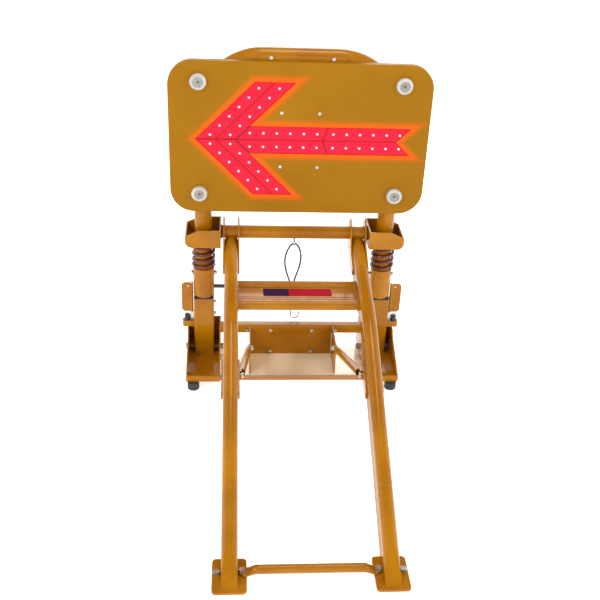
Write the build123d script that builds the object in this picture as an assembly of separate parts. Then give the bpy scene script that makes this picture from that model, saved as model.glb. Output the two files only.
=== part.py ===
from build123d import *
import math
import os

# Arrow board carrier: a lit arrow panel on a sprung inverted-U mast, which stands in two base
# brackets and is stayed by two long arms that end in foot plates on the ground.
# Lengths are millimetres. Everything is drawn about the mast: X to the right, Y to the back,
# Z up from the floor, Y = 0 at the axes of the mast legs. save() moves each piece back by
# MAST_Y, so the origin is on the floor under the middle of the whole footprint.

os.makedirs("parts", exist_ok=True)

# Fits
RUN = 0.08                 # radial clearance of a running fit
GAP = 0.4                  # clear distance between pieces that move past each other
HOLE = 0.05                # radial clearance of a bolt in its hole

# Mast: one bent pipe
LEG_X = 338.0              # half the distance between the legs
PIPE_R = 31.75
PIPE_WALL = 3.2
PIPE_TOP = 1228.75
PIPE_BEND = 215.0          # bend radius of the pipe's centreline
LEG_BOTTOM = 150.0

# Sign panel
PANEL_W = 900.0
PANEL_H = 540.0
PANEL_DROP = 34.75          # from the pipe's top down to the panel's edge
PANEL_BOTTOM = PIPE_TOP - PANEL_DROP - PANEL_H
PANEL_CORNER = 85.0
PANEL_CLEAR = 6.25          # from the folded edge back to the pipe
PANEL_SHEET = 4.0
PANEL_RIM = 22.0           # depth of the folded edge, face included
RIM_SHEET = 3.0

# Arrow
BAR_W = 98.0
TIP_INSET = 90.0           # from the panel's left edge to the tip
HEAD_HALF = 202.0          # half the height of the head
TAIL_X = 387.0
SEAM_X = 97.0              # corners of the joint between the two shaft modules
SEAM_DEPTH = 17.0
MODULE_GAP = 0.75
MODULE_T = 2.5
CARRIER_LAP = 12.0
CARRIER_T = 3.0
LED_R = 4.5
LED_H = 4.0
LED_PITCH = 46.6
LED_ROW = 24.5             # from a bar's edge, or from the shaft's middle, to a row
SHAFT_LED_X = (-173.0, 116.0)
HEAD_LED_Z = 181.0

# Corner lamps
LAMP_SIDE = 102.0          # from the panel's side to a lamp's centre
LAMP_END = 70.0            # from the panel's top or bottom to a lamp's centre
LAMP_R = 28.0
LAMP_DEPTH = 15.0
LAMP_BEVEL = 4.0
LAMP_DISC_R = 18.0
LAMP_STEM_R = 11.0
LAMP_NUT_R = 18.0
LAMP_NUT_T = 8.0

# Panel fixings
RAIL_OFFSET = 235.0        # from the panel's middle to each back rail
RAIL_H = 30.0
RAIL_HALF = 400.0
RAIL_WALL = 2.5
HANGER_HALF = 150.0
HANGER_RISE = 16.0         # how far the hanger shows above the panel
HANGER_BOLT_RISE = 8.5
HANGER_BOLT_X = 105.0
SADDLE_HALF = 24.0
U_BOLT_R = 5.0
SCREW_X = 65.0
SCREW_Z = 97.0
SCREW_R = 3.0
BOX_HALF_W = 85.0
BOX_HALF_H = 120.0
BOX_DEPTH = 70.0
BOX_WALL = 3.0
BOX_STANDOFF = 7.0

# Spring carriers
SPRING_WIRE_R = 6.0
SPRING_MEAN_R = PIPE_R + 7.25
SPRING_TURNS = 3.4
COLLAR_R = PIPE_R + 8.25
COLLAR_TOP = 403.0
COLLAR_BOLT_Z = 376.0
COLLAR_BOLT_R = 5.0
GRIP_R = 7.5
GRIP_Z = 318.0
GRIP_LENGTH = 64.0

# Box brackets and cross tube
TRAY_HALF = 65.0           # half width of a box bracket
TRAY_FRONT = -65.0
TRAY_BACK = 70.0
TRAY_BOTTOM = 510.0
TRAY_TOP = 578.0
TRAY_WALL = 5.0
TRAY_ROUND = 24.0
TRAY_SLOPE_X = 12.0        # where the sloping top edge starts, from the leg's axis
TRAY_SLOPE_DROP = 24.0
TUBE_R = 24.15
TUBE_WALL = 3.2
TUBE_Z = 548.0
BUSH_WALL = 4.0
BUSH_FLANGE = 5.0
STAY_W = 40.0
STAY_T = 8.0
STAY_BOTTOM = 60.0

# Lower posts and base brackets
POST_WALL = 4.0
POST_BUSH_WALL = 2.25
POST_HALF = PIPE_R + POST_BUSH_WALL + POST_WALL
POST_TOP = 279.0
POST_CORNER = 6.0
POST_BUSH_BOTTOM = 160.0
POST_BOLT_Z = (200.0, 250.0)
BASE_HALF = 63.5
BASE_WALL = 5.0
BASE_FLOOR_Z = 30.0
BASE_FRONT = -225.0
BASE_WALL_TOP = 146.0
BASE_LIP = 22.0
PIVOT_Y = -20.0
PIVOT_Z = 60.0
PIVOT_R = 8.0
SPACER_R = 12.0
FOOT_R = 22.0
FOOT_OUT = 36.0            # rubber feet, outboard of the leg's axis
FOOT_FRONT_Y = -222.0
FOOT_BACK_Y = 40.0

# Equipment tray between the base brackets
FLOOR_T = 4.0
FLOOR_FRONT = -211.0
FLOOR_BACK = 5.0
FLOOR_LIP = 20.0
SIDE_X = 160.0
SIDE_T = 4.0
SIDE_FRONT = -178.0
SIDE_TOP = 158.0
RAIL_FACE_Y = -38.0        # front face of the rear rail
REAR_RAIL_TOP = 170.0
REAR_RAIL_BOTTOM = 133.0
REAR_RAIL_DEEP = 24.0
REAR_RAIL_T = 4.0
TRAY_BOLT_R = 4.0

# Arms
ARM_X = 234.5
ARM_WEB = 55.0             # from the round tube's axis to the bottom of the web
ARM_WALL = 3.2
ARM_SLOPE = 27.9
NECK_SLOPE = 12.0
ARM_BEND = 900.0
FOOT_AXIS = (-1108.0, 67.0)
NECK_AXIS = (-214.0, 474.0)
NECK_END = -12.0
GROOVES = (-15.0, -29.0, -43.0)
GROOVE_W = 5.0
GROOVE_DEEP = 2.0
FACET_TOP = (-1126.0, 85.0)
FACET_FOOT_Y = -1222.0
CAP_T = 3.0
EAR_T = 6.0
PLATE_T = 8.0
PLATE_FRONT = -1235.0
PLATE_BACK = -1105.0
PLATE_CORNER = 12.0
FOOT_BOLT_Y = -1161.0
FOOT_BOLT_X = TUBE_R + 11.85
FOOT_BOLT_R = 6.0
PLATE_HALF = FOOT_BOLT_X + 14.0
STRAP_R = 13.5
STRAP_WALL = 2.5
STRAP_END_W = 36.0
STRAP_END_T = 6.0
STEP_BACK = -168.0
STEP_NOSE = -316.0
STEP_TOP = 431.0
STEP_T = 34.0
STEP_WALL = 3.0
STEP_GROOVES = (-218.0, -289.0, -303.0)
LABEL_HALF = 121.0
LABEL_FRONT = -280.0
LABEL_BACK = -229.0
LABEL_T = 1.0

# Struts
STRUT_BACK = (-140.0, 125.0)
STRUT_FRONT = (-565.0, 290.0)
STRUT_R = 13.5
STRUT_WALL = 2.5
TONGUE_T = 6.0
TONGUE_HALF = 15.0
TONGUE_LENGTH = 62.0
PIN_R = 6.0
STRUT_PLATE_T = 6.0

# Lock flaps and index plungers on the outer sides of the posts
FLAP_PIN_Y = -10.0
FLAP_PIN_R = 4.0
FLAP_BARREL_R = 6.5
FLAP_PIN_OUT = COLLAR_R + FLAP_BARREL_R + 0.5      # from the leg's axis
FLAP_BOTTOM = 214.0
FLAP_TOP = 338.0
FLAP_OUT = FLAP_PIN_OUT + 38.0
FLAP_T = 5.0
FLAP_CORNER = 14.0
KNOB_OUT = FLAP_PIN_OUT + 18.0
KNOB_R = 11.0
KNOB_H = 26.0
PLUNGER_R = 5.0
PLUNGER_LUG = (152.0, 176.0)

# Cord loop and hook
EYE_R = 12.0
EYE_WIRE_R = 3.0
EYE_Z = 503.0
CORD_R = 3.5
CORD_ROUTE = [(-6, 296), (-7, 328), (-20, 365), (-31, 404), (-33, 440), (-24, 474), (-9, 500),
              (9, 501), (23, 478), (29, 446), (25, 408), (13, 368), (3, 332), (2, 296)]
FERRULE_TOP = 296.0
FERRULE_BOTTOM = 262.0
HOOK_WIRE_R = 2.5
HOOK_X = -2.0
HOOK_BEND = 15.0
HOOK_LOW = 194.0           # centre of the hook's bend
HOOK_TIP = 208.0

MAST_Y = (-PLATE_FRONT - (TRAY_BACK + STAY_T)) / 2
PANEL_MID = PANEL_BOTTOM + PANEL_H / 2
PANEL_FACE_Y = -(PIPE_R + PANEL_CLEAR + PANEL_RIM)
PANEL_BACK_Y = PANEL_FACE_Y + PANEL_SHEET
RIM_BACK_Y = PANEL_FACE_Y + PANEL_RIM
ARM_IN = ARM_X - TUBE_R
ARM_OUT = ARM_X + TUBE_R
COLLAR_BOTTOM = POST_TOP + BUSH_FLANGE + GAP


def block(x, y, z):
    """A rectangular solid between two limits along each axis."""
    size = [limits[1] - limits[0] for limits in (x, y, z)]
    middle = [(limits[1] + limits[0]) / 2 for limits in (x, y, z)]
    return Pos(*middle) * Box(*size)


def rod(start, end, radius):
    """A round bar between two points."""
    along = Vector(*end) - Vector(*start)
    return extrude(Plane(origin=start, z_dir=along) * Circle(radius), amount=along.length)


def bolt(seat, outward, radius, length, flats, height):
    """A hexagon bolt whose head stands outward from its seat and whose shank goes in."""
    plane = Plane(origin=seat, z_dir=outward)
    head = extrude(plane * RegularPolygon(flats / 2, 6, major_radius=False), amount=height)
    return head + extrude(plane * Circle(radius), amount=-length)


def nut(seat, outward, bore, flats, height):
    """A hexagon nut standing outward from its seat."""
    plane = Plane(origin=seat, z_dir=outward)
    outline = RegularPolygon(flats / 2, 6, major_radius=False) - Circle(bore)
    return extrude(plane * outline, amount=height)


def from_front(sketch, front, back, z=0.0):
    """A sketch in X and Z, made solid from its front face to its back face."""
    plane = Plane(origin=(0, back, z), x_dir=(1, 0, 0), z_dir=(0, -1, 0))
    return extrude(plane * sketch, amount=back - front)


def from_side(points, x_low, x_high):
    """An outline in Y and Z, made solid between two values of X."""
    face = make_face(Polyline(*[(x_low, y, z) for y, z in points], close=True))
    return extrude(face, amount=x_high - x_low, dir=(1, 0, 0))


def pair(piece):
    """A right-hand piece and its mirror image on the left."""
    return [piece, mirror(piece, about=Plane.YZ)]


def save(node, pieces):
    """Write one node, moved so that the origin is under the middle of the footprint."""
    group = pieces if isinstance(pieces, list) else [pieces]
    solids = [solid for piece in group for solid in piece.solids()]
    shape = solids[0] if len(solids) == 1 else Compound(solids)
    export_step(Pos(0, MAST_Y, 0) * shape, f"parts/{node}.step")


# ---------------------------------------------------------------- mast

def mast_pipe():
    """The inverted U, drilled for the collar bolts, the hanger bolts and the grip."""
    height = PIPE_TOP - PIPE_R
    corners = [(-LEG_X, 0, LEG_BOTTOM), (-LEG_X, 0, height), (LEG_X, 0, height), (LEG_X, 0, LEG_BOTTOM)]
    path = FilletPolyline(*corners, radius=[PIPE_BEND, PIPE_BEND])
    ring = Circle(PIPE_R) - Circle(PIPE_R - PIPE_WALL)
    pipe = sweep(Plane(origin=corners[0], z_dir=(0, 0, 1)) * ring, path=path)
    for side in (-1, 1):
        out = side * (LEG_X + COLLAR_R)
        into = side * (LEG_X - COLLAR_R)
        pipe -= rod((out, 0, COLLAR_BOLT_Z), (into, 0, COLLAR_BOLT_Z), COLLAR_BOLT_R + HOLE)
        x = side * HANGER_BOLT_X
        pipe -= rod((x, -PIPE_R - 1, hanger_bolt_z()), (x, 0, hanger_bolt_z()), TRAY_BOLT_R + HOLE)
    pipe -= rod((-LEG_X, 0, GRIP_Z), (-LEG_X + PIPE_R + 1, 0, GRIP_Z), GRIP_R + HOLE)
    return pipe


def lamp_places():
    """Centres of the four corner lamps in X and Z."""
    x = PANEL_W / 2 - LAMP_SIDE
    z = PANEL_H / 2 - LAMP_END
    return [(i * x, PANEL_MID + j * z) for i in (-1, 1) for j in (-1, 1)]


def screw_places():
    """Centres of the four control box screws in X and Z."""
    return [(i * SCREW_X, PANEL_MID + j * SCREW_Z) for i in (-1, 1) for j in (-1, 1)]


def mirrored(points):
    """Points of an outline with their Z turned over."""
    return [(x, -z) for x, z in reversed(points)]


def arrow_outlines():
    """The head's two bars and the shaft's two modules, about the middle of the panel."""
    half = BAR_W / 2
    cut = BAR_W * math.sqrt(2)
    tip = -PANEL_W / 2 + TIP_INSET
    upper = [(tip, 0), (tip + HEAD_HALF, HEAD_HALF), (tip + HEAD_HALF + cut, HEAD_HALF),
             (tip + cut + half, half), (tip + cut, 0)]
    front = [(tip + cut, 0), (tip + cut + half, half), (SEAM_X, half), (SEAM_X - SEAM_DEPTH, 0),
             (SEAM_X, -half), (tip + cut + half, -half)]
    rear = [(SEAM_X - SEAM_DEPTH, 0), (SEAM_X, half), (TAIL_X, half), (TAIL_X - half, 0),
            (TAIL_X, -half), (SEAM_X, -half)]
    return [upper, mirrored(upper), front, rear]


def outline_face(points):
    """A flat face from an outline."""
    return make_face(Polyline(*points, close=True))


def arrow_face():
    """The whole arrow as one face."""
    whole = Sketch() + [outline_face(points) for points in arrow_outlines()]
    return whole.clean()


def led_places():
    """Centres of the lenses, two rows of six in each module."""
    step = LED_PITCH / math.sqrt(2)
    tip = -PANEL_W / 2 + TIP_INSET
    places = []
    for k in range(6):
        z = HEAD_LED_Z - k * step
        for row in (LED_ROW, BAR_W - LED_ROW):
            x = tip + z + row * math.sqrt(2)
            places += [(x, z), (x, -z)]
        for start in SHAFT_LED_X:
            places += [(start + k * LED_PITCH, LED_ROW), (start + k * LED_PITCH, -LED_ROW)]
    return places


def sign_panel():
    """A pan of sheet with its edge folded back, a window for the arrow, and drilled holes."""
    outer = RectangleRounded(PANEL_W, PANEL_H, PANEL_CORNER)
    inner = RectangleRounded(PANEL_W - 2 * RIM_SHEET, PANEL_H - 2 * RIM_SHEET, PANEL_CORNER - RIM_SHEET)
    panel = from_front(outer, PANEL_FACE_Y, RIM_BACK_Y, PANEL_MID)
    panel -= from_front(inner, PANEL_BACK_Y, RIM_BACK_Y, PANEL_MID)
    panel -= from_front(arrow_face(), PANEL_FACE_Y, PANEL_BACK_Y, PANEL_MID)
    for x, z in lamp_places():
        panel -= rod((x, PANEL_FACE_Y, z), (x, PANEL_BACK_Y, z), LAMP_STEM_R + HOLE)
    for x, z in screw_places():
        panel -= rod((x, PANEL_FACE_Y, z), (x, PANEL_BACK_Y, z), SCREW_R + HOLE)
    return panel


def led_carrier():
    """The backing plate that closes the window and holds the modules."""
    face = offset(arrow_face(), amount=CARRIER_LAP, kind=Kind.INTERSECTION)
    return from_front(face, PANEL_BACK_Y, PANEL_BACK_Y + CARRIER_T, PANEL_MID)


def led_modules():
    """Four lens boards in the window, a little below the panel's face."""
    boards = []
    for points in arrow_outlines():
        face = offset(outline_face(points), amount=-MODULE_GAP, kind=Kind.INTERSECTION)
        boards.append(from_front(face, PANEL_BACK_Y - MODULE_T, PANEL_BACK_Y, PANEL_MID))
    return boards


def led_lenses():
    """Domed lenses that stand on the modules."""
    seat = PANEL_BACK_Y - MODULE_T
    lens = rod((0, seat, PANEL_MID), (0, seat - LED_H, PANEL_MID), LED_R)
    lens = fillet(lens.edges().sort_by(Axis.Y)[0], LED_H * 0.8)
    return [Pos(x, 0, z) * lens for x, z in led_places()]


def lamp_rings():
    """Bevelled housings on the panel's face, each with a stem that goes through it."""
    rings = []
    for x, z in lamp_places():
        front = PANEL_FACE_Y - LAMP_DEPTH
        body = rod((x, PANEL_FACE_Y, z), (x, front, z), LAMP_R)
        body = chamfer(body.edges().sort_by(Axis.Y)[0], LAMP_BEVEL)
        body += rod((x, PANEL_FACE_Y, z), (x, PANEL_BACK_Y + LAMP_NUT_T, z), LAMP_STEM_R)
        body -= rod((x, front, z), (x, front + LAMP_DEPTH / 2, z), LAMP_DISC_R)
        rings.append(body)
    return rings


def lamp_discs():
    """The reflector in each lamp, with its raised centre."""
    discs = []
    for x, z in lamp_places():
        seat = PANEL_FACE_Y - LAMP_DEPTH / 2
        disc = rod((x, seat, z), (x, seat - 4, z), LAMP_DISC_R - HOLE)
        discs.append(disc + rod((x, seat, z), (x, seat - 6, z), LAMP_DISC_R / 3))
    return discs


def lamp_nuts():
    """The ring nut behind each lamp."""
    back = PANEL_BACK_Y + LAMP_NUT_T
    return [rod((x, PANEL_BACK_Y, z), (x, back, z), LAMP_NUT_R)
            - rod((x, PANEL_BACK_Y, z), (x, back, z), LAMP_STEM_R + HOLE) for x, z in lamp_places()]


def panel_rails():
    """Two box rails along the panel's back."""
    rails = []
    for side in (-1, 1):
        middle = PANEL_MID + side * RAIL_OFFSET
        z = (middle - RAIL_H / 2, middle + RAIL_H / 2)
        rail = block((-RAIL_HALF, RAIL_HALF), (PANEL_BACK_Y, RIM_BACK_Y), z)
        bore_y = (PANEL_BACK_Y + RAIL_WALL, RIM_BACK_Y - RAIL_WALL)
        bore_z = (z[0] + RAIL_WALL, z[1] - RAIL_WALL)
        rail -= block((-RAIL_HALF, RAIL_HALF), bore_y, bore_z)
        rails.append(rail)
    for x in u_bolt_legs():
        back = (x, RIM_BACK_Y, lower_rail_z())
        front = (x, RIM_BACK_Y - RAIL_WALL, lower_rail_z())
        rails[0] -= rod(back, front, U_BOLT_R + HOLE)
    return rails


def lower_rail_z():
    """Height of the lower rail's middle."""
    return PANEL_MID - RAIL_OFFSET


def u_bolt_legs():
    """X of the four U-bolt legs."""
    reach = PIPE_R + U_BOLT_R
    return [side * LEG_X + offset_x for side in (-1, 1) for offset_x in (-reach, reach)]


def hanger_bolt_z():
    """Height of the hanger's bolts, just above the panel's edge."""
    return PANEL_BOTTOM + PANEL_H + HANGER_BOLT_RISE


def top_hanger():
    """The plate that hangs the upper rail from the pipe's flat top."""
    z = (PANEL_MID + RAIL_OFFSET - RAIL_H / 2, PANEL_BOTTOM + PANEL_H + HANGER_RISE)
    plate = block((-HANGER_HALF, HANGER_HALF), (RIM_BACK_Y, -PIPE_R), z)
    for x in (-HANGER_BOLT_X, HANGER_BOLT_X):
        plate -= rod((x, RIM_BACK_Y, hanger_bolt_z()), (x, -PIPE_R, hanger_bolt_z()), TRAY_BOLT_R + HOLE)
    return plate


def hanger_bolts():
    """Two bolts through the hanger into the pipe."""
    return [bolt((x, RIM_BACK_Y, hanger_bolt_z()), (0, -1, 0), TRAY_BOLT_R, 12, 12, 5.5)
            for x in (-HANGER_BOLT_X, HANGER_BOLT_X)]


def mast_saddles():
    """Blocks between the lower rail and the legs."""
    z = (lower_rail_z() - RAIL_H / 2, lower_rail_z() + RAIL_H / 2)
    saddle = block((LEG_X - SADDLE_HALF, LEG_X + SADDLE_HALF), (RIM_BACK_Y, -18), z)
    return pair(saddle - rod((LEG_X, 0, z[0]), (LEG_X, 0, z[1]), PIPE_R))


def u_bolts():
    """A bolt round each leg, with its two nuts on the rail."""
    pieces = []
    reach = PIPE_R + U_BOLT_R
    z = lower_rail_z()
    end = RIM_BACK_Y - RAIL_WALL - 4
    for side in (-1, 1):
        x = side * LEG_X
        path = Wire([Line((x - reach, end, z), (x - reach, 0, z)),
                     ThreePointArc((x - reach, 0, z), (x, reach, z), (x + reach, 0, z)),
                     Line((x + reach, 0, z), (x + reach, end, z))])
        pieces.append(sweep(Plane(origin=(x - reach, end, z), z_dir=(0, 1, 0)) * Circle(U_BOLT_R), path=path))
    pieces += [nut((x, RIM_BACK_Y, z), (0, 1, 0), U_BOLT_R + HOLE, 16, 8) for x in u_bolt_legs()]
    return pieces


def panel_screws():
    """Pan head screws through the panel into the control box's bosses."""
    screws = []
    for x, z in screw_places():
        head = rod((x, PANEL_FACE_Y, z), (x, PANEL_FACE_Y - 2.6, z), SCREW_R * 2)
        head = fillet(head.edges().sort_by(Axis.Y)[0], 1.6)
        screws.append(head + rod((x, PANEL_FACE_Y, z), (x, PANEL_BACK_Y + BOX_STANDOFF - 1, z), SCREW_R))
    return screws


def control_box():
    """The flasher box behind the panel, open at the back, on four bosses."""
    front = PANEL_BACK_Y + BOX_STANDOFF
    x = (-BOX_HALF_W, BOX_HALF_W)
    z = (PANEL_MID - BOX_HALF_H, PANEL_MID + BOX_HALF_H)
    box = fillet(block(x, (front, front + BOX_DEPTH), z).edges().filter_by(Axis.Y), 8)
    inside_x = (x[0] + BOX_WALL, x[1] - BOX_WALL)
    inside_z = (z[0] + BOX_WALL, z[1] - BOX_WALL)
    box -= block(inside_x, (front + BOX_WALL, front + BOX_DEPTH), inside_z)
    for sx, sz in screw_places():
        box += rod((sx, PANEL_BACK_Y, sz), (sx, front, sz), SCREW_R * 3)
        box -= rod((sx, PANEL_BACK_Y, sz), (sx, front, sz), SCREW_R + HOLE)
    return box


def control_box_lid():
    """The box's lid, with a lip that fits inside the walls."""
    back = PANEL_BACK_Y + BOX_STANDOFF + BOX_DEPTH
    x = (-BOX_HALF_W, BOX_HALF_W)
    z = (PANEL_MID - BOX_HALF_H, PANEL_MID + BOX_HALF_H)
    lid = fillet(block(x, (back, back + BOX_WALL), z).edges().filter_by(Axis.Y), 8)
    inset = BOX_WALL + HOLE
    inside_x = (x[0] + inset, x[1] - inset)
    return lid + block(inside_x, (back - 6, back), (z[0] + inset, z[1] - inset))


def spring_collars():
    """The collar pinned to each leg, under its spring."""
    collar = rod((LEG_X, 0, COLLAR_BOTTOM), (LEG_X, 0, COLLAR_TOP), COLLAR_R)
    collar = chamfer(collar.edges().sort_by(Axis.Z)[0], 3)
    collar -= rod((LEG_X, 0, COLLAR_BOTTOM), (LEG_X, 0, COLLAR_TOP), PIPE_R)
    ends = (LEG_X - COLLAR_R, LEG_X + COLLAR_R)
    collar -= rod((ends[0], 0, COLLAR_BOLT_Z), (ends[1], 0, COLLAR_BOLT_Z), COLLAR_BOLT_R + HOLE)
    grip_hole = rod((-LEG_X, 0, GRIP_Z), (-LEG_X + COLLAR_R + 1, 0, GRIP_Z), GRIP_R + HOLE)
    return [piece - grip_hole for piece in pair(collar)]


def collar_bolts():
    """A bolt across each collar, with its nut."""
    screw = bolt((LEG_X + COLLAR_R, 0, COLLAR_BOLT_Z), (1, 0, 0), COLLAR_BOLT_R, 2 * COLLAR_R + 12, 17, 7)
    lock = nut((LEG_X - COLLAR_R, 0, COLLAR_BOLT_Z), (-1, 0, 0), COLLAR_BOLT_R, 17, 8)
    return pair(screw + lock)


def lift_grip():
    """The bar on the left leg by which the mast is lifted."""
    start = -LEG_X + PIPE_R - PIPE_WALL
    grip = rod((start, 0, GRIP_Z), (start + PIPE_WALL + GRIP_LENGTH, 0, GRIP_Z), GRIP_R)
    return fillet(grip.edges().sort_by(Axis.X)[-1], 3)


def coil_springs():
    """A compression spring round each leg, between its collar and its box bracket."""
    low = COLLAR_TOP + GAP + SPRING_WIRE_R
    high = TRAY_BOTTOM - GAP - SPRING_WIRE_R
    path = Helix(pitch=(high - low) / SPRING_TURNS, height=high - low, radius=SPRING_MEAN_R)
    wire = sweep(Plane(origin=path @ 0, z_dir=path % 0) * Circle(SPRING_WIRE_R), path=path, is_frenet=True)
    return pair(Pos(LEG_X, 0, low) * wire)


# ---------------------------------------------------------------- frame

def box_brackets():
    """Open trays that carry the upper bushes, with the outer top edge sloping down."""
    x = (LEG_X - TRAY_HALF, LEG_X + TRAY_HALF)
    y = (TRAY_FRONT, TRAY_BACK)
    body = block(x, y, (TRAY_BOTTOM, TRAY_TOP))
    low = body.edges().filter_by(Axis.Y).group_by(Axis.Z)[0].sort_by(Axis.X)
    body = fillet(low[-1], TRAY_ROUND)
    inside_x = (x[0] + TRAY_WALL, x[1] - TRAY_WALL)
    inside_y = (y[0] + TRAY_WALL, y[1] - TRAY_WALL)
    pocket = block(inside_x, inside_y, (TRAY_BOTTOM + TRAY_WALL, TRAY_TOP))
    low = pocket.edges().filter_by(Axis.Y).group_by(Axis.Z)[0].sort_by(Axis.X)
    body -= fillet(low[-1], TRAY_ROUND - TRAY_WALL)
    slope = [(LEG_X + TRAY_SLOPE_X, TRAY_TOP), (x[1], TRAY_TOP - TRAY_SLOPE_DROP), (x[1] + 1, TRAY_TOP + 1)]
    body -= from_front(outline_face(slope), y[0], y[1])
    floor = (TRAY_BOTTOM, TRAY_BOTTOM + TRAY_WALL)
    return pair(body - rod((LEG_X, 0, floor[0]), (LEG_X, 0, floor[1]), PIPE_R + BUSH_WALL + HOLE))


def bracket_bushes():
    """Flanged bushes in the box brackets, in which the mast slides."""
    floor = TRAY_BOTTOM + TRAY_WALL
    bush = rod((LEG_X, 0, TRAY_BOTTOM), (LEG_X, 0, floor), PIPE_R + BUSH_WALL)
    bush += rod((LEG_X, 0, floor), (LEG_X, 0, floor + BUSH_FLANGE), PIPE_R + 2.2 * BUSH_WALL)
    return pair(bush - rod((LEG_X, 0, TRAY_BOTTOM), (LEG_X, 0, floor + BUSH_FLANGE), PIPE_R + RUN))


def cross_tube():
    """The round tube between the box brackets, on which the arms hinge."""
    end = LEG_X - TRAY_HALF
    tube = rod((-end, 0, TUBE_Z), (end, 0, TUBE_Z), TUBE_R)
    tube -= rod((-end, 0, TUBE_Z), (end, 0, TUBE_Z), TUBE_R - TUBE_WALL)
    return tube - rod((0, 0, TUBE_Z - TUBE_R - 1), (0, 0, TUBE_Z - 10), EYE_WIRE_R + 1 + HOLE)


def back_stays():
    """Flat bars behind the legs, from the base brackets up to the box brackets."""
    stay = block((LEG_X - STAY_W / 2, LEG_X + STAY_W / 2), (TRAY_BACK, TRAY_BACK + STAY_T),
                 (STAY_BOTTOM, TRAY_TOP - 18))
    return pair(fillet(stay.edges().filter_by(Axis.Y), 6))


def lower_posts():
    """Square tubes that the legs slide in."""
    plane = Plane(origin=(LEG_X, 0, BASE_FLOOR_Z + BASE_WALL))
    outer = RectangleRounded(2 * POST_HALF, 2 * POST_HALF, POST_CORNER)
    bore = 2 * (POST_HALF - POST_WALL)
    inner = RectangleRounded(bore, bore, POST_CORNER - POST_WALL)
    post = extrude(plane * (outer - inner), amount=POST_TOP - BASE_FLOOR_Z - BASE_WALL)
    ends = (LEG_X - POST_HALF, LEG_X + POST_HALF)
    post -= rod((ends[0], PIVOT_Y, PIVOT_Z), (ends[1], PIVOT_Y, PIVOT_Z), PIVOT_R + HOLE)
    for z in POST_BOLT_Z:
        post -= rod((ends[0], 0, z), (ends[0] + POST_WALL, 0, z), TRAY_BOLT_R + HOLE)
    return pair(post)


def post_bushes():
    """Square bushes with a flange on top of each post."""
    plug = RectangleRounded(2 * (POST_HALF - POST_WALL - HOLE), 2 * (POST_HALF - POST_WALL - HOLE),
                            POST_CORNER - POST_WALL)
    bush = extrude(Plane(origin=(LEG_X, 0, POST_BUSH_BOTTOM)) * plug, amount=POST_TOP - POST_BUSH_BOTTOM)
    cap = RectangleRounded(2 * POST_HALF, 2 * POST_HALF, POST_CORNER)
    bush += extrude(Plane(origin=(LEG_X, 0, POST_TOP)) * cap, amount=BUSH_FLANGE)
    bush -= rod((LEG_X, 0, POST_BUSH_BOTTOM), (LEG_X, 0, POST_TOP + BUSH_FLANGE), PIPE_R + RUN)
    for z in POST_BOLT_Z:
        start = LEG_X - POST_HALF + POST_WALL
        bush -= rod((start, 0, z), (start + 1.2, 0, z), TRAY_BOLT_R + HOLE)
    return pair(bush)


def post_bolts():
    """Short bolts on the posts' inner sides, into the bushes."""
    bolts = []
    for z in POST_BOLT_Z:
        bolts += pair(bolt((LEG_X - POST_HALF, 0, z), (-1, 0, 0), TRAY_BOLT_R, POST_WALL + 1, 14, 8))
    return bolts


def base_brackets():
    """Channels on the floor, with side walls that slope down to a low front lip."""
    top = BASE_FLOOR_Z + BASE_LIP
    outline = [(TRAY_BACK, BASE_FLOOR_Z), (TRAY_BACK, BASE_WALL_TOP), (-POST_HALF, BASE_WALL_TOP),
               (-POST_HALF - 24, BASE_WALL_TOP - 26), (BASE_FRONT, top), (BASE_FRONT, BASE_FLOOR_Z)]
    body = from_side(outline, LEG_X - BASE_HALF, LEG_X + BASE_HALF)
    inside = BASE_HALF - BASE_WALL
    body -= block((LEG_X - inside, LEG_X + inside), (BASE_FRONT + BASE_WALL, TRAY_BACK - BASE_WALL),
                  (BASE_FLOOR_Z + BASE_WALL, BASE_WALL_TOP + 1))
    ends = (LEG_X - BASE_HALF, LEG_X + BASE_HALF)
    return pair(body - rod((ends[0], PIVOT_Y, PIVOT_Z), (ends[1], PIVOT_Y, PIVOT_Z), PIVOT_R + HOLE))


def base_pivot_bolts():
    """The bolt through each base bracket and post, with its nut."""
    screw = bolt((LEG_X + BASE_HALF, PIVOT_Y, PIVOT_Z), (1, 0, 0), PIVOT_R, 2 * BASE_HALF + 14, 24, 9)
    return pair(screw + nut((LEG_X - BASE_HALF, PIVOT_Y, PIVOT_Z), (-1, 0, 0), PIVOT_R, 24, 11))


def base_spacers():
    """Sleeves on the pivot bolts, beside the posts."""
    sleeves = []
    for low, high in ((-BASE_HALF + BASE_WALL, -POST_HALF), (POST_HALF, BASE_HALF - BASE_WALL)):
        start = (LEG_X + low, PIVOT_Y, PIVOT_Z)
        end = (LEG_X + high, PIVOT_Y, PIVOT_Z)
        sleeves += pair(rod(start, end, SPACER_R) - rod(start, end, PIVOT_R + HOLE))
    return sleeves


def rubber_feet():
    """Two rubber feet under each base bracket."""
    feet = []
    for y in (FOOT_FRONT_Y, FOOT_BACK_Y):
        foot = rod((LEG_X + FOOT_OUT, y, 0), (LEG_X + FOOT_OUT, y, BASE_FLOOR_Z), FOOT_R)
        feet += pair(chamfer(foot.edges().sort_by(Axis.Z)[0], 2.5))
    return feet


def tray_floor():
    """The tray's floor sheet with its front lip turned up."""
    end = LEG_X - BASE_HALF
    floor = block((-end, end), (FLOOR_FRONT, FLOOR_BACK), (BASE_FLOOR_Z, BASE_FLOOR_Z + FLOOR_T))
    return floor + block((-end, end), (FLOOR_FRONT - FLOOR_T, FLOOR_FRONT), (BASE_FLOOR_Z, BASE_FLOOR_Z + FLOOR_LIP))


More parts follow.
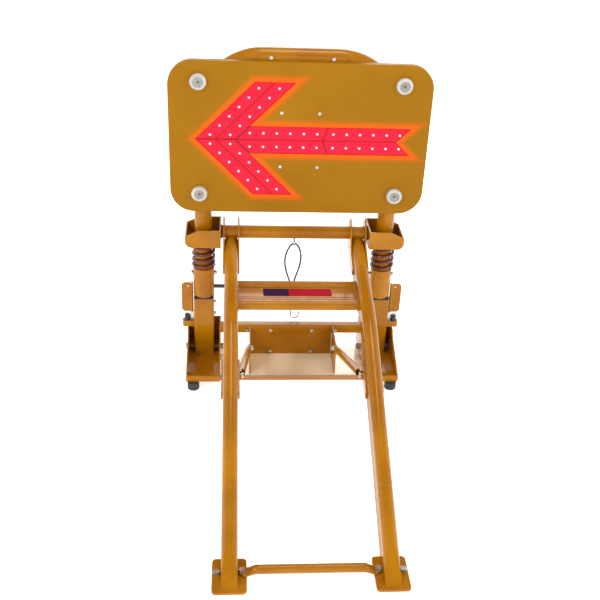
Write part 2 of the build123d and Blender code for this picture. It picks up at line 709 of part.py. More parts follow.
def rear_rail():
    """The angle rail between the base brackets."""
    end = LEG_X - BASE_HALF
    t = REAR_RAIL_T
    rail = block((-end, end), (RAIL_FACE_Y, RAIL_FACE_Y + t), (REAR_RAIL_BOTTOM, REAR_RAIL_TOP))
    rail += block((-end, end), (RAIL_FACE_Y, RAIL_FACE_Y + REAR_RAIL_DEEP), (REAR_RAIL_TOP - t, REAR_RAIL_TOP))
    for x, z in rail_bolt_places():
        rail -= rod((x, RAIL_FACE_Y, z), (x, RAIL_FACE_Y + t, z), TRAY_BOLT_R + HOLE)
    return rail


def rail_bolt_places():
    """Centres of the rear rail's bolts in X and Z."""
    z = (REAR_RAIL_BOTTOM + REAR_RAIL_TOP) / 2 - 6
    return [(side * x, z) for side in (-1, 1) for x in (SIDE_X / 2, SIDE_X + 12)]


def panel_bolt_places():
    """Centres of the bolts low on the back panel in X and Z."""
    return [(side * SIDE_X / 2, BASE_FLOOR_Z + FLOOR_T + 14) for side in (-1, 1)]


def back_panel():
    """The sheet that closes the tray's back, behind the rail."""
    front = RAIL_FACE_Y + REAR_RAIL_T
    top = REAR_RAIL_TOP - REAR_RAIL_T - 6
    panel = block((-SIDE_X, SIDE_X), (front, front + 3), (BASE_FLOOR_Z + FLOOR_T, top))
    for x, z in panel_bolt_places() + [place for place in rail_bolt_places() if abs(place[0]) < SIDE_X]:
        panel -= rod((x, front, z), (x, front + 3, z), TRAY_BOLT_R + HOLE)
    return panel


def tray_bolts():
    """Bolts in the rear rail and low on the back panel."""
    bolts = []
    for x, z in rail_bolt_places():
        bolts.append(bolt((x, RAIL_FACE_Y, z), (0, -1, 0), TRAY_BOLT_R, 12, 13, 6))
    for x, z in panel_bolt_places():
        bolts.append(bolt((x, RAIL_FACE_Y + REAR_RAIL_T, z), (0, -1, 0), TRAY_BOLT_R, 8, 13, 6))
    return bolts


def side_plates():
    """Upright plates at the tray's sides, drilled for the strut pivots."""
    low = BASE_FLOOR_Z + FLOOR_T
    outline = [(RAIL_FACE_Y, low), (RAIL_FACE_Y, SIDE_TOP + 8), (SIDE_FRONT + 20, SIDE_TOP),
               (SIDE_FRONT + 4, SIDE_TOP - 14), (SIDE_FRONT, low)]
    plate = from_side(outline, SIDE_X, SIDE_X + SIDE_T)
    return pair(plate - rod((SIDE_X, *STRUT_BACK), (SIDE_X + SIDE_T, *STRUT_BACK), PIN_R + HOLE))


def strut_pivots():
    """The pivot in each side plate: a domed nut inside, a head outside the strut."""
    out = SIDE_X + SIDE_T + 2 * GAP + TONGUE_T
    pin = rod((SIDE_X - 10, *STRUT_BACK), (out + 5, *STRUT_BACK), PIN_R)
    pin += rod((out, *STRUT_BACK), (out + 5, *STRUT_BACK), PIN_R + 4)
    dome = rod((SIDE_X - 13, *STRUT_BACK), (SIDE_X, *STRUT_BACK), PIN_R + 4.5)
    return pair(pin + fillet(dome.edges().sort_by(Axis.X)[0], 7))


def eye_bolt():
    """The ring under the middle of the cross tube."""
    ring = Plane(origin=(0, 0, EYE_Z), z_dir=(1, 0, 0)) * Torus(EYE_R, EYE_WIRE_R)
    collar = TUBE_Z - TUBE_R
    stem = rod((0, 0, EYE_Z + EYE_R), (0, 0, collar + 9), EYE_WIRE_R + 1)
    return ring + stem


def flap_pins():
    """The pin that each flap swings on, held by a lug on the post."""
    out = LEG_X + FLAP_PIN_OUT
    lug_z = (FLAP_BOTTOM - 28, FLAP_BOTTOM - GAP)
    lug = block((LEG_X + POST_HALF, out), (FLAP_PIN_Y - 6, FLAP_PIN_Y + 6), lug_z)
    lug += rod((out, FLAP_PIN_Y, lug_z[0]), (out, FLAP_PIN_Y, lug_z[1]), 6)
    pin = rod((out, FLAP_PIN_Y, FLAP_BOTTOM - 34), (out, FLAP_PIN_Y, FLAP_TOP + 1), FLAP_PIN_R)
    head = rod((out, FLAP_PIN_Y, FLAP_TOP + GAP), (out, FLAP_PIN_Y, FLAP_TOP + 5), FLAP_BARREL_R)
    return pair(lug + pin + head)


def plunger_brackets():
    """Lugs on the posts that guide the index plungers."""
    out = LEG_X + KNOB_OUT
    lug = block((LEG_X + POST_HALF, out + 18), (FLAP_PIN_Y - 14, FLAP_PIN_Y + 14), PLUNGER_LUG)
    lug = fillet(lug.edges().filter_by(Axis.Z).group_by(Axis.X)[-1], 8)
    return pair(lug - rod((out, FLAP_PIN_Y, PLUNGER_LUG[0]), (out, FLAP_PIN_Y, PLUNGER_LUG[1]), PLUNGER_R + RUN))


# ---------------------------------------------------------------- arms

def arm_line():
    """The centreline of the arm's round tube: a long slope, a wide bend and a flatter neck."""
    rise = math.tan(math.radians(ARM_SLOPE))
    neck = math.tan(math.radians(NECK_SLOPE))
    bend_y = (NECK_AXIS[1] - FOOT_AXIS[1] + rise * FOOT_AXIS[0] - neck * NECK_AXIS[0]) / (rise - neck)
    bend = (bend_y, FOOT_AXIS[1] + rise * (bend_y - FOOT_AXIS[0]))
    low_y = PLATE_FRONT - 60
    low = (low_y, FOOT_AXIS[1] + rise * (low_y - FOOT_AXIS[0]))
    high = (NECK_END, NECK_AXIS[1] + neck * (NECK_END - NECK_AXIS[0]))
    return [low, bend, high]


def arm_section(inset):
    """A round tube on a flat-sided web: with no inset the grooved outside, otherwise the bore."""
    if inset:
        half = TUBE_R - inset - GROOVE_DEEP
        return Circle(TUBE_R - inset) + Pos(0, (ARM_WEB - inset) / 2) * Rectangle(2 * half, ARM_WEB - inset)
    section = Circle(TUBE_R) + Pos(0, ARM_WEB / 2) * Rectangle(2 * TUBE_R, ARM_WEB)
    for depth in GROOVES:
        for side in (-1, 1):
            section -= Pos(side * TUBE_R, -depth) * Rectangle(2 * GROOVE_DEEP, GROOVE_W)
    return section


def arm_sweep(inset):
    """The arm's section carried along its line, before the ends are trimmed."""
    points = [(ARM_X, y, z) for y, z in arm_line()]
    path = FilletPolyline(*points, radius=[ARM_BEND])
    return sweep(Plane(origin=path @ 0, x_dir=(1, 0, 0), z_dir=path % 0) * arm_section(inset), path=path)


def facet(depth):
    """Everything behind the sloping facet at the arm's foot, moved inward by a depth, above the plate."""
    low = (FACET_FOOT_Y, PLATE_T)
    run = Vector(FACET_TOP[0] - low[0], FACET_TOP[1] - low[1]).normalized()
    start = Vector(*low) + Vector(run.Y, -run.X) * depth
    far = start + run * 900
    first = start + run * ((PLATE_T - start.Y) / run.Y)
    outline = [(first.X, PLATE_T), (far.X, far.Y), (far.X, 900), (200, 900), (200, PLATE_T)]
    return from_side(outline, ARM_X - 2 * TUBE_R, ARM_X + 2 * TUBE_R)


def clear_of_tube():
    """The round space that the cross tube needs in an arm."""
    return rod((ARM_X - 2 * TUBE_R, 0, TUBE_Z), (ARM_X + 2 * TUBE_R, 0, TUBE_Z), TUBE_R + GAP)


def arms():
    """The two arms, hollow, cut to the facet and the plate at the foot and round the cross tube."""
    shell = arm_sweep(0) - arm_sweep(ARM_WALL)
    return pair((shell & facet(0)) - clear_of_tube())


def arm_end_caps():
    """The plates that close the arms at the facet."""
    slab = facet(0) - facet(CAP_T)
    return pair(arm_sweep(ARM_WALL) & slab & from_side(
        [(PLATE_FRONT, PLATE_T), (PLATE_FRONT, 200), (PLATE_BACK + 60, 200), (PLATE_BACK + 60, PLATE_T)],
        ARM_X - TUBE_R, ARM_X + TUBE_R))


def arm_ears():
    """Plates on both sides of each arm that hold the cross tube."""
    outline = [(-8, 604), (8, 604), (40, 566), (42, 530), (14, 482), (-96, 446), (-150, 447),
               (-156, 474), (-64, 520), (-36, 572)]
    ears = []
    for low in (ARM_IN - EAR_T, ARM_OUT):
        ear = fillet(from_side(outline, low, low + EAR_T).edges().filter_by(Axis.X), 5)
        ears += pair(ear - rod((low, 0, TUBE_Z), (low + EAR_T, 0, TUBE_Z), TUBE_R + RUN))
    return ears


def foot_plates():
    """The plates under the arms, drilled for their bolts."""
    middle = (ARM_X, (PLATE_FRONT + PLATE_BACK) / 2, 0)
    outline = RectangleRounded(2 * PLATE_HALF, PLATE_BACK - PLATE_FRONT, PLATE_CORNER)
    plate = extrude(Plane(origin=middle) * outline, amount=PLATE_T)
    for x in (ARM_X - FOOT_BOLT_X, ARM_X + FOOT_BOLT_X):
        plate -= rod((x, FOOT_BOLT_Y, 0), (x, FOOT_BOLT_Y, PLATE_T), FOOT_BOLT_R + HOLE)
    return pair(plate)


def foot_bolts():
    """Bolts with washers in the foot plates: the inner ones hold the strap too."""
    bolts = []
    for x, seat in ((ARM_X - FOOT_BOLT_X, PLATE_T + STRAP_END_T), (ARM_X + FOOT_BOLT_X, PLATE_T)):
        screw = bolt((x, FOOT_BOLT_Y, seat), (0, 0, 1), FOOT_BOLT_R, seat, 18, 9.5)
        bolts += pair(screw + rod((x, FOOT_BOLT_Y, seat), (x, FOOT_BOLT_Y, seat + 2), 11))
    return bolts


def cross_strap():
    """The tube between the feet, pressed flat at its ends."""
    reach = ARM_X - FOOT_BOLT_X
    tube_end = reach - 30
    middle = PLATE_T + STRAP_R
    ends = ((-tube_end, FOOT_BOLT_Y, middle), (tube_end, FOOT_BOLT_Y, middle))
    strap = rod(*ends, STRAP_R) - rod(*ends, STRAP_R - STRAP_WALL)
    half = STRAP_END_W / 2
    top = PLATE_T + STRAP_END_T
    tongue = block((tube_end - 20, reach + 2), (FOOT_BOLT_Y - half, FOOT_BOLT_Y + half), (PLATE_T, top))
    tongue = fillet(tongue.edges().filter_by(Axis.Z), 10)
    tongue -= rod((reach, FOOT_BOLT_Y, PLATE_T), (reach, FOOT_BOLT_Y, top), FOOT_BOLT_R + HOLE)
    for piece in pair(tongue):
        strap += piece
    return strap


def mid_step():
    """The hollow tread between the arms, with a round nose and three grooves on top."""
    low = STEP_TOP - STEP_T
    nose = STEP_T / 2
    tread = block((-ARM_IN, ARM_IN), (STEP_NOSE, STEP_BACK), (low, STEP_TOP))
    tread += rod((-ARM_IN, STEP_NOSE, low + nose), (ARM_IN, STEP_NOSE, low + nose), nose)
    hollow_z = (low + STEP_WALL, STEP_TOP - 2 * STEP_WALL)
    tread -= block((-ARM_IN, ARM_IN), (STEP_NOSE, STEP_BACK - STEP_WALL), hollow_z)
    for y in STEP_GROOVES:
        tread -= block((-ARM_IN, ARM_IN), (y - 2.5, y + 2.5), (STEP_TOP - 2, STEP_TOP))
    return tread


def step_label():
    """The plain name plate on the tread."""
    label = block((-LABEL_HALF, LABEL_HALF), (LABEL_FRONT, LABEL_BACK), (STEP_TOP, STEP_TOP + LABEL_T))
    return fillet(label.edges().filter_by(Axis.Z), 4)


def strut_brackets():
    """Plates on both sides of each arm's web: the inner one carries the strut's pin."""
    y, z = STRUT_FRONT
    nose = [(y + 26, z + 44), (y + 26, z - 6), (y + 12, z - 20)]
    outline = nose + [(y - 14, z - 20), (y - 88, z - 34), (y - 88, z - 4)]
    plates = []
    for low in (ARM_IN - STRUT_PLATE_T, ARM_OUT):
        plate = from_side(outline, low, low + STRUT_PLATE_T)
        plates += pair(plate - rod((low, y, z), (low + STRUT_PLATE_T, y, z), PIN_R + HOLE))
    return plates


def strut_pins():
    """The pin in each inner bracket that the strut's fork hooks over."""
    y, z = STRUT_FRONT
    inner = ARM_IN - STRUT_PLATE_T
    end = inner - TONGUE_T - 2 * GAP
    pin = rod((end - 6, y, z), (ARM_IN, y, z), PIN_R)
    return pair(pin + rod((end - 6, y, z), (end, y, z), PIN_R + 3.5))


# ---------------------------------------------------------------- moving pieces on the frame

def struts():
    """Round tubes with flat tongues: a pivot hole at the back, an open fork at the front."""
    back_x = SIDE_X + SIDE_T + GAP + TONGUE_T / 2
    front_x = ARM_IN - STRUT_PLATE_T - GAP - TONGUE_T / 2
    run = Vector(0, STRUT_FRONT[0] - STRUT_BACK[0], STRUT_FRONT[1] - STRUT_BACK[1]).normalized()
    back = Vector(back_x, *STRUT_BACK)
    front = Vector(front_x, *STRUT_FRONT)
    inset = TONGUE_LENGTH * 0.62
    start = back + (front - back).normalized() * inset
    end = front - (front - back).normalized() * inset
    strut = rod(tuple(start), tuple(end), STRUT_R)
    strut -= rod(tuple(start), tuple(end), STRUT_R - STRUT_WALL)
    for at, inward in ((back, run), (front, run * -1)):
        plane = Plane(origin=at, x_dir=inward, z_dir=(1, 0, 0))
        length = TONGUE_LENGTH + TONGUE_HALF
        tongue = Pos(length / 2 - TONGUE_HALF, 0) * RectangleRounded(length, 2 * TONGUE_HALF, TONGUE_HALF * 0.8)
        strut += extrude(plane * tongue, amount=TONGUE_T / 2, both=True)
    half = TONGUE_T / 2 + 0.1
    strut -= rod((back_x - half, *STRUT_BACK), (back_x + half, *STRUT_BACK), PIN_R + RUN)
    lift = Vector(0, STRUT_FRONT[1] - TUBE_Z, -STRUT_FRONT[0]).normalized()
    slot = Plane(origin=front, x_dir=lift, z_dir=(1, 0, 0))
    mouth = Circle(PIN_R + GAP) + Pos(30, 0) * Rectangle(60, 2 * (PIN_R + 2 * GAP))
    strut -= extrude(slot * mouth, amount=half, both=True)
    return max(strut.solids(), key=lambda solid: solid.volume)


def lock_flap():
    """The right-hand flap: a barrel on the pin and a plate with rounded outer corners."""
    out = LEG_X + FLAP_PIN_OUT
    edge = LEG_X + FLAP_OUT
    plate = block((out, edge), (FLAP_PIN_Y - FLAP_T / 2, FLAP_PIN_Y + FLAP_T / 2), (FLAP_BOTTOM, FLAP_TOP))
    plate = fillet(plate.edges().filter_by(Axis.Y).group_by(Axis.X)[-1], FLAP_CORNER)
    plate += rod((out, FLAP_PIN_Y, FLAP_BOTTOM), (out, FLAP_PIN_Y, FLAP_TOP), FLAP_BARREL_R)
    plate -= rod((edge - 24, FLAP_PIN_Y - FLAP_T, FLAP_TOP - 16), (edge - 24, FLAP_PIN_Y + FLAP_T, FLAP_TOP - 16), 3)
    return plate - rod((out, FLAP_PIN_Y, FLAP_BOTTOM), (out, FLAP_PIN_Y, FLAP_TOP), FLAP_PIN_R + RUN)


def plunger():
    """The right-hand plunger: a pin through the lug and a fluted knob."""
    x = LEG_X + KNOB_OUT
    low = PLUNGER_LUG[1] + GAP
    knob = rod((x, FLAP_PIN_Y, low), (x, FLAP_PIN_Y, low + KNOB_H), KNOB_R)
    knob = fillet(knob.edges().sort_by(Axis.Z)[-1], 5)
    for k in range(8):
        angle = math.radians(45 * k)
        flute_x = x + (KNOB_R + 1) * math.cos(angle)
        flute_y = FLAP_PIN_Y + (KNOB_R + 1) * math.sin(angle)
        knob -= rod((flute_x, flute_y, low + 8), (flute_x, flute_y, low + KNOB_H), 2.2)
    return knob + rod((x, FLAP_PIN_Y, PLUNGER_LUG[0] - 4), (x, FLAP_PIN_Y, low), PLUNGER_R)


def corner_radii(points):
    """For each corner of a route, the largest arc that leaves its shorter run 0.45 of its length."""
    radii = []
    for before, corner, after in zip(points, points[1:], points[2:]):
        arrive = Vector(*corner) - Vector(*before)
        leave = Vector(*after) - Vector(*corner)
        turn = math.radians(arrive.get_angle(leave))
        radii.append(0.45 * min(arrive.length, leave.length) / math.tan(turn / 2))
    return radii


def cord_loop():
    """The cord from the ferrule up through the eye and back, as straight runs and tangent arcs."""
    points = [(x, 0, z) for x, z in CORD_ROUTE]
    radii = corner_radii(points)
    print("cord radii:", [round(radius, 1) for radius in radii])
    path = FilletPolyline(*points, radius=radii)
    tube = sweep(Plane(origin=points[0], z_dir=path % 0) * Circle(CORD_R), path=path)
    section = math.pi * CORD_R ** 2
    print(f"cord length {path.length:.1f}, volume over section times length {tube.volume / section / path.length:.4f}")
    return tube


def ferrule():
    """The crimped block that holds both ends of the cord and the hook."""
    middle = (CORD_ROUTE[0][0] + CORD_ROUTE[-1][0]) / 2
    body = block((middle - 11, middle + 11), (-6, 6), (FERRULE_BOTTOM, FERRULE_TOP))
    return fillet(body.edges().filter_by(Axis.Z), 4)


def steel_hook():
    """The open J hook under the ferrule."""
    far = HOOK_X + 2 * HOOK_BEND
    path = Wire([Line((HOOK_X, 0, FERRULE_BOTTOM), (HOOK_X, 0, HOOK_LOW)),
                 ThreePointArc((HOOK_X, 0, HOOK_LOW), (HOOK_X + HOOK_BEND, 0, HOOK_LOW - HOOK_BEND), (far, 0, HOOK_LOW)),
                 Line((far, 0, HOOK_LOW), (far, 0, HOOK_TIP))])
    start = Plane(origin=(HOOK_X, 0, FERRULE_BOTTOM), z_dir=(0, 0, -1))
    return sweep(start * Circle(HOOK_WIRE_R), path=path)


PIECES = {
    "mast_pipe": mast_pipe,
    "sign_panel": sign_panel,
    "panel_rails": panel_rails,
    "top_hanger": top_hanger,
    "hanger_bolts": hanger_bolts,
    "mast_saddles": mast_saddles,
    "u_bolts": u_bolts,
    "led_carrier": led_carrier,
    "led_modules": led_modules,
    "led_lenses": led_lenses,
    "lamp_rings": lamp_rings,
    "lamp_discs": lamp_discs,
    "lamp_nuts": lamp_nuts,
    "panel_screws": panel_screws,
    "control_box": control_box,
    "control_box_lid": control_box_lid,
    "spring_collars": spring_collars,
    "collar_bolts": collar_bolts,
    "lift_grip": lift_grip,
    "coil_springs": coil_springs,
    "box_brackets": box_brackets,
    "bracket_bushes": bracket_bushes,
    "cross_tube": cross_tube,
    "back_stays": back_stays,
    "lower_posts": lower_posts,
    "post_bushes": post_bushes,
    "post_bolts": post_bolts,
    "base_brackets": base_brackets,
    "base_pivot_bolts": base_pivot_bolts,
    "base_spacers": base_spacers,
    "rubber_feet": rubber_feet,
    "tray_floor": tray_floor,
    "rear_rail": rear_rail,
    "back_panel": back_panel,
    "tray_bolts": tray_bolts,
    "side_plates": side_plates,
    "strut_pivots": strut_pivots,
    "eye_bolt": eye_bolt,
    "flap_pins": flap_pins,
    "plunger_brackets": plunger_brackets,
    "arm_end_caps": arm_end_caps,
    "arm_ears": arm_ears,
    "foot_plates": foot_plates,
    "foot_bolts": foot_bolts,
    "cross_strap": cross_strap,
    "mid_step": mid_step,
    "step_label": step_label,
    "strut_brackets": strut_brackets,
    "strut_pins": strut_pins,
    "cord_loop": cord_loop,
    "ferrule": ferrule,
    "steel_hook": steel_hook,
}

for node, make in PIECES.items():
    save(node, make())

# Pieces that are a node of their own on each side
for node, right in (("arm", arms()[0]), ("strut", struts()), ("lock_flap", lock_flap()), ("plunger", plunger())):
    save(f"{node}_right", right)
    save(f"{node}_left", mirror(right, about=Plane.YZ))
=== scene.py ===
# %% [markdown]
# # Arrow board carrier
# A steel frame that carries a flashing arrow panel: a sprung mast in two base brackets, two long
# arms that reach forward to their feet, and a tread between them. The engineering model gives
# every solid piece in metres, with the floor at Z 0, +Y to the rear and +X to the right.
# This lesson gives those pieces their finishes and adds the shapes that a solid modeller draws
# plainly: wound springs, a pressed strap, weld beads, board screws and a hanging cord.

# %% Load the frame
import math
import bpy
import numpy as np
from mathutils import Euler, Matrix


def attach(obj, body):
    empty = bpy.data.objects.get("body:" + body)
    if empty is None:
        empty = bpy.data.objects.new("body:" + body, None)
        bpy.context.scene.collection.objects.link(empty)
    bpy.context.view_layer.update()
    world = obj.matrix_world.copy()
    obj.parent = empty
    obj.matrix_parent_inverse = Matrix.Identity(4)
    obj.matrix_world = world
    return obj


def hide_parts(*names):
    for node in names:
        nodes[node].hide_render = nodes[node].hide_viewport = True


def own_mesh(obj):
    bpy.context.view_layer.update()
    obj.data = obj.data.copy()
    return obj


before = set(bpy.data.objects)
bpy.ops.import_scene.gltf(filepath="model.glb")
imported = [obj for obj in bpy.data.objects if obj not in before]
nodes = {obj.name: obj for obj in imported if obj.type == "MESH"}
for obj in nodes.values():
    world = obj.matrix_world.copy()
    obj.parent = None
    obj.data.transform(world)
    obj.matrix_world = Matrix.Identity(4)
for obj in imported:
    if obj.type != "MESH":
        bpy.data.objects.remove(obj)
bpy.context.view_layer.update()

# %% [markdown]
# ## Places
# The mast's axis stands behind the middle of the footprint. A few heights and distances serve
# several pieces below, so they are named once here, where the reader can check them against a
# drawing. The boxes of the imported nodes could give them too, but a named value reads better.

# %% Places on the carrier
MAST_Y = 0.5785
LEG_X = 0.338
PANEL_MID = 0.924
BOARD_FACE = MAST_Y - 0.0586
LAMP_X, LAMP_Z = 0.348, 0.200
ARM_X, TUBE_R = 0.2345, 0.02415
CROSS_TUBE_Z = 0.548
TREAD_TOP, TREAD_LOW = 0.431, 0.397
print("mast axis at y", MAST_Y, "lens boards at y", BOARD_FACE)

# %% [markdown]
# ## Camera
# The carrier is seen from the front, a little left of its middle and well above it. A camera is
# a point, a direction and a lens: the lens is a moderate one, so near feet look larger than the
# panel without bending. It is made first because every finish is judged through it.

# %% Camera
lens_data = bpy.data.cameras.new("studio_camera")
lens_data.lens = 53.8
lens_data.clip_end = 60
camera = bpy.data.objects.new("studio_camera", lens_data)
camera.location = (-0.229, -2.452, 1.958)
aimed = Euler((math.radians(60.8), 0, math.radians(-4.93))).to_matrix()
tilted = aimed @ Matrix.Rotation(math.radians(2.7), 3, "Z")
camera.rotation_euler = tilted.to_euler()
bpy.context.collection.objects.link(camera)
bpy.context.scene.camera = camera
print("camera stands", round(abs(camera.location.y - MAST_Y), 3), "m in front of the mast")

# %% [markdown]
# ## Floor and light
# A product is shown on a white sweep under large soft lamps. The floor is one wide dish that
# bends up far away on every side, so no edge shows from any view. A surface of two parameters
# does it: a radius and an angle, with a height that is nought up to six metres out and then
# grows with the square of the distance.

# %% Surface helper
def surface(name, points, wrap=False, capped=False):
    """A mesh over a grid of points of shape (rows, columns, 3).
    Each face joins a point, its neighbour in the row, and the same two in the next row.
    wrap joins the last column to the first, and capped closes the first and last rows."""
    rows, columns = points.shape[:2]
    index = np.arange(rows * columns).reshape(rows, columns)
    if wrap:
        index = np.hstack([index, index[:, :1]])
    quads = np.stack([index[:-1, :-1], index[1:, :-1], index[1:, 1:], index[:-1, 1:]], axis=-1)
    faces = quads.reshape(-1, 4).tolist()
    if capped:
        faces += [index[0, :columns].tolist(), index[-1, :columns][::-1].tolist()]
    mesh = bpy.data.meshes.new(name)
    mesh.from_pydata(points.reshape(-1, 3).tolist(), [], faces)
    smooth = np.ones(len(faces), dtype=bool)
    smooth[len(quads.reshape(-1, 4)):] = False
    mesh.polygons.foreach_set("use_smooth", smooth)
    piece = bpy.data.objects.new(name, mesh)
    bpy.context.collection.objects.link(piece)
    return piece


FLAT_RADIUS, DISH_RADIUS = 6, 11
bearing, radius = np.meshgrid(np.linspace(0, 2 * np.pi, 72, endpoint=False),
                              np.linspace(0.0001, DISH_RADIUS, 60))
rise = 0.35 * np.maximum(radius - FLAT_RADIUS, 0) ** 2
dish = np.stack([radius * np.cos(bearing), radius * np.sin(bearing), rise], axis=-1)
floor = surface("studio_floor", dish, wrap=True)
print("floor faces:", len(floor.data.polygons))

# %% Softboxes
def softbox(name, place, aim, size, power):
    """A square lamp of that size in metres, turned so that its face looks at aim."""
    data = bpy.data.lights.new(name, "AREA")
    data.shape = "SQUARE"
    data.size = size
    data.energy = power
    lamp = bpy.data.objects.new(name, data)
    lamp.location = place
    way = np.array(aim, dtype=float) - np.array(place, dtype=float)
    flat = math.hypot(way[0], way[1])
    lamp.rotation_euler = (math.atan2(flat, -way[2]), 0, math.atan2(-way[0], way[1]))
    bpy.context.collection.objects.link(lamp)
    return lamp


softbox("key_light", (-2.6, -2.4, 3.6), (0, 0.2, 0.5), 0.9, 62)
softbox("fill_light", (3.0, -1.6, 2.2), (0, 0.2, 0.5), 1.0, 26)
softbox("top_light", (0.3, 0.4, 4.2), (0, 0.3, 0.4), 1.4, 40)
softbox("rear_light", (0.5, 3.6, 2.6), (0, 0.4, 0.6), 1.6, 24)
world = bpy.data.worlds.new("studio_world")
world.use_nodes = True
world.node_tree.nodes["Background"].inputs["Color"].default_value = (1, 1, 1, 1)
world.node_tree.nodes["Background"].inputs["Strength"].default_value = 0.35
bpy.context.scene.world = world
bpy.context.scene.view_settings.view_transform = "Standard"
print("lamps:", len(bpy.data.lights))

# %% [markdown]
# ## Finishes
# Every finish starts from one helper. It takes what is the same all over, such as metalness and
# clear coat, straight to the shader's sockets, and it mixes two colours, two roughnesses and a
# fine bump from noise read at object coordinates, so the pattern stays on the steel when the
# camera or a joint moves.

# %% Finish helper
def node(tree, kind, **values):
    """A shader node of that kind with its input sockets set by name."""
    made = tree.nodes.new(kind)
    for key, value in values.items():
        made.inputs[key.replace("_", " ")].default_value = value
    return made


def measured(tree, source, low, high, out_low, out_high):
    """A smooth step: source from low to high becomes out_low to out_high."""
    step = node(tree, "ShaderNodeMapRange")
    step.interpolation_type = "SMOOTHSTEP"
    for key, value in zip((1, 2, 3, 4), (low, high, out_low, out_high)):
        step.inputs[key].default_value = value
    tree.links.new(source, step.inputs[0])
    return step.outputs[0]


def blended(tree, factor, first, second):
    """A colour between first and second, each a colour or an output, by factor."""
    mix = tree.nodes.new("ShaderNodeMix")
    mix.data_type = "RGBA"
    for socket, value in ((mix.inputs[6], first), (mix.inputs[7], second)):
        if isinstance(value, tuple):
            socket.default_value = (*value, 1)
        else:
            tree.links.new(value, socket)
    tree.links.new(factor, mix.inputs[0])
    return mix.outputs[2]


def noise(tree, scale, detail=4.0, stretch=(1, 1, 1)):
    """Cloudy noise at object coordinates. scale is cycles a metre, stretch packs it by axis."""
    place = tree.nodes.new("ShaderNodeTexCoord")
    mapping = node(tree, "ShaderNodeMapping", Scale=stretch)
    tree.links.new(place.outputs["Object"], mapping.inputs[0])
    cloud = node(tree, "ShaderNodeTexNoise", Scale=scale, Detail=detail, Roughness=0.55)
    tree.links.new(mapping.outputs[0], cloud.inputs["Vector"])
    return cloud.outputs["Fac"]


def axes(tree, output="Object"):
    """The X, Y and Z of the object's own coordinates, or of its own normal."""
    place = tree.nodes.new("ShaderNodeTexCoord")
    split = tree.nodes.new("ShaderNodeSeparateXYZ")
    tree.links.new(place.outputs[output], split.inputs[0])
    return split.outputs


def repaint(material, change):
    """Replaces the material's base colour by what change(tree, colour) makes of it."""
    tree = material.node_tree
    base = tree.nodes["Principled BSDF"].inputs["Base Color"]
    tree.links.new(change(tree, base.links[0].from_socket), base)


def finish(name, light, dark, rough, patch=6.0, grain=260.0, lift=0.0002, **sockets):
    """A material whose colour drifts from dark to light with patches a few to the metre,
    whose roughness runs over the pair rough, and whose height follows the fine grain."""
    material = bpy.data.materials.new(name)
    material.use_nodes = True
    tree = material.node_tree
    shader = tree.nodes["Principled BSDF"]
    for key, value in sockets.items():
        shader.inputs[key.replace("_", " ")].default_value = value
    cloud = noise(tree, patch)
    colour = blended(tree, measured(tree, cloud, 0.3, 0.7, 0, 1), dark, light)
    tree.links.new(colour, shader.inputs["Base Color"])
    scratch = noise(tree, patch * 5, detail=6, stretch=(1, 1, 2.5))
    tree.links.new(measured(tree, scratch, 0.3, 0.72, *rough), shader.inputs["Roughness"])
    bump = node(tree, "ShaderNodeBump", Strength=0.6, Distance=lift)
    tree.links.new(noise(tree, grain, detail=2), bump.inputs["Height"])
    tree.links.new(bump.outputs[0], shader.inputs["Normal"])
    return material


def wear(names, material):
    """Gives the named nodes of the frame this material in every slot."""
    for name in names:
        for place in nodes[name].material_slots:
            place.material = material


print("finish helpers ready")

# %% [markdown]
# ## Amber enamel
# The frame is welded steel under a thick glossy amber enamel. Real enamel shows a faint orange
# peel, slow drifts of colour and a few duller patches where hands and dust have been. A clear
# coat over a soft base gives the two reflections that thick paint has.

# %% Amber enamel
AMBER = (0.41, 0.160, 0.0004)
AMBER_DEEP = (0.31, 0.108, 0.0004)
enamel = finish("amber_enamel", AMBER, AMBER_DEEP, (0.18, 0.32), patch=5.0, grain=420.0,
                lift=0.00005, Coat_Weight=0.35, Coat_Roughness=0.06, Specular_IOR_Level=0.08)
painted = ["mast_pipe", "panel_rails", "top_hanger", "mast_saddles", "spring_collars",
           "box_brackets", "cross_tube", "back_stays", "lower_posts", "base_brackets",
           "back_panel", "side_plates", "plunger_brackets", "arm_end_caps", "arm_ears",
           "foot_plates", "cross_strap", "mid_step", "strut_brackets", "arm_right", "arm_left",
           "strut_right", "strut_left", "lock_flap_right", "lock_flap_left", "rear_rail"]
wear(painted, enamel)
print("enamelled nodes:", len(painted))

# %% [markdown]
# ## Tray floor with painted sheen
# The tray's floor is a glossy sheet whose top is painted pale, a painted reflection of the bright
# light above it, and its front lip has the frame's amber. A step on the object's Y coordinate parts
# the two, so one piece of steel needs only one finish.

# %% Tray floor with painted sheen
# pale colours: a painted reflection of the light above, on the floor's top face
painted_sheen_tray_sheet = finish("painted_sheen_tray_sheet", (0.96, 0.86, 0.66), (0.92, 0.76, 0.46), (0.10, 0.24),
                      patch=9.0, Coat_Weight=0.8, Coat_Roughness=0.05)
LIP_Y = MAST_Y - 0.2055


def amber_lip(tree, colour):
    """The colour behind the lip's plane, which is the floor's painted sheen, and deep amber in
    front of it.
    """
    lip = measured(tree, axes(tree)["Y"], LIP_Y - 0.001, LIP_Y + 0.001, 1.0, 0.0)
    return blended(tree, lip, colour, AMBER_DEEP)


repaint(painted_sheen_tray_sheet, amber_lip)
wear(["tray_floor"], painted_sheen_tray_sheet)
print("tray floor finish:", painted_sheen_tray_sheet.name)

